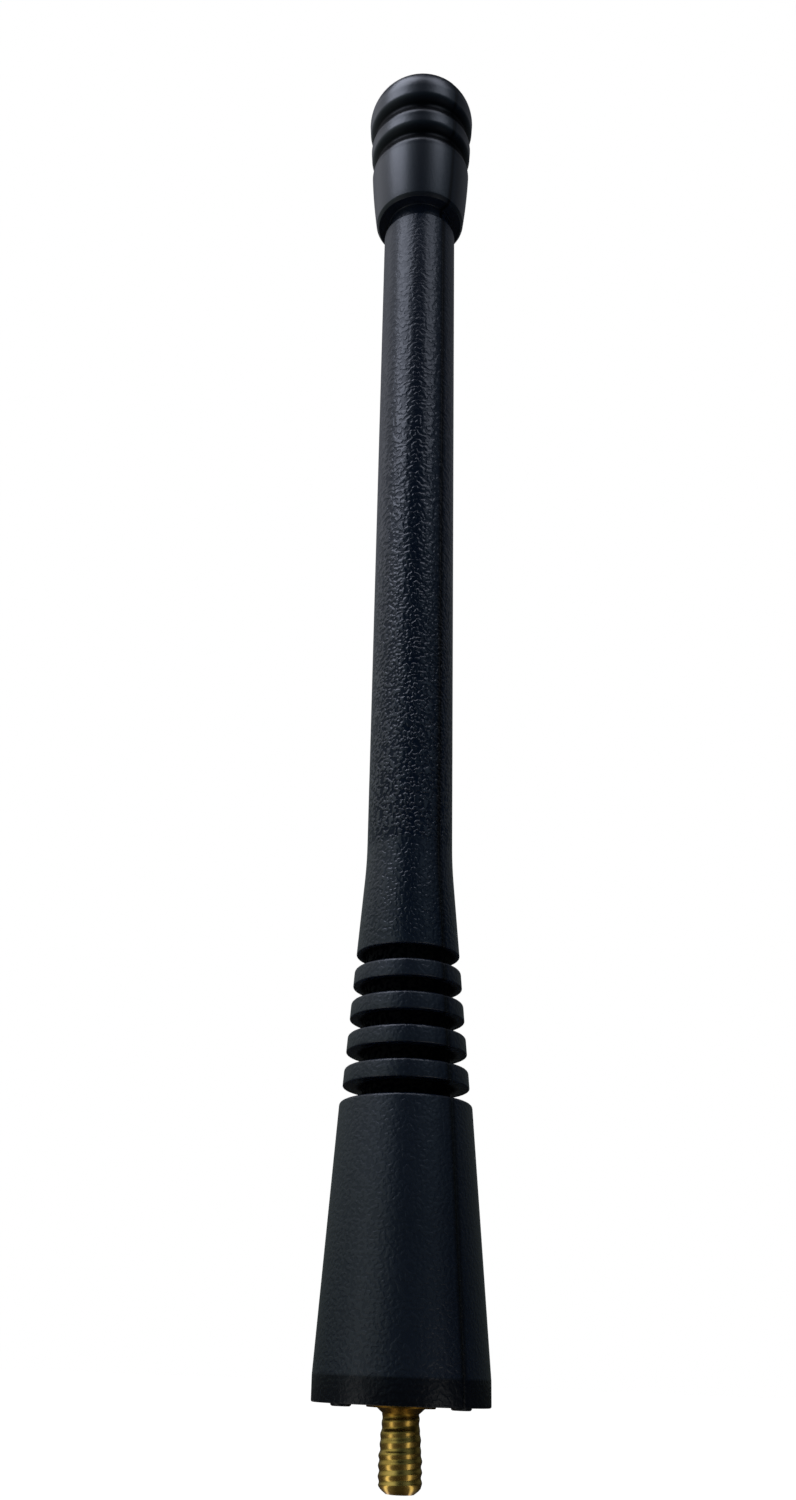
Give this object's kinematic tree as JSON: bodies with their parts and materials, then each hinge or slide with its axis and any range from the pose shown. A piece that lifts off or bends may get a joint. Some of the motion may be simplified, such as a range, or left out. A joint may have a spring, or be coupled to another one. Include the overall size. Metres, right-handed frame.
{
  "type": "stubby dipole antenna",
  "caption": "Short radio antenna: moulded plastic sheath with a tapered foot, flexing grooves and a domed head, on a threaded brass stud.",
  "frame": {"origin": "centre of the seating plane, on the lower face of the stud's shoulder", "axes": "+Z along the antenna's axis from the stud towards the tip"},
  "size_m": [0.02, 0.02, 0.2079],
  "materials": {
    "sheath_plastic": "moulded, spark-eroded grain",
    "turned_brass": "turned",
    "ptfe": "smooth",
    "copper": "drawn",
    "tinned_braid": "braided",
    "jacket": "smooth",
    "nylon": "moulded",
    "tube_plastic": "drawn"
  },
  "bodies": {
    "root": {"sheath": "sheath_plastic", "threaded_stud": "turned_brass", "stud_insulator": "ptfe", "coupling_collar": "turned_brass", "inner_conductor": "copper", "coax_dielectric": "ptfe", "coax_braid": "tinned_braid", "coax_jacket": "jacket", "tube_foot": "nylon", "carrier_tube": "tube_plastic", "lower_sleeve": "turned_brass", "sleeve_spacer_low": "ptfe", "sleeve_spacer_middle": "ptfe", "sleeve_end": "turned_brass", "feed_insulator": "ptfe", "feed_terminal": "turned_brass", "helix_former": "nylon", "upper_helix": "copper", "helix_cap": "turned_brass", "tip_plug": "nylon"}
  },
  "joints": []
}
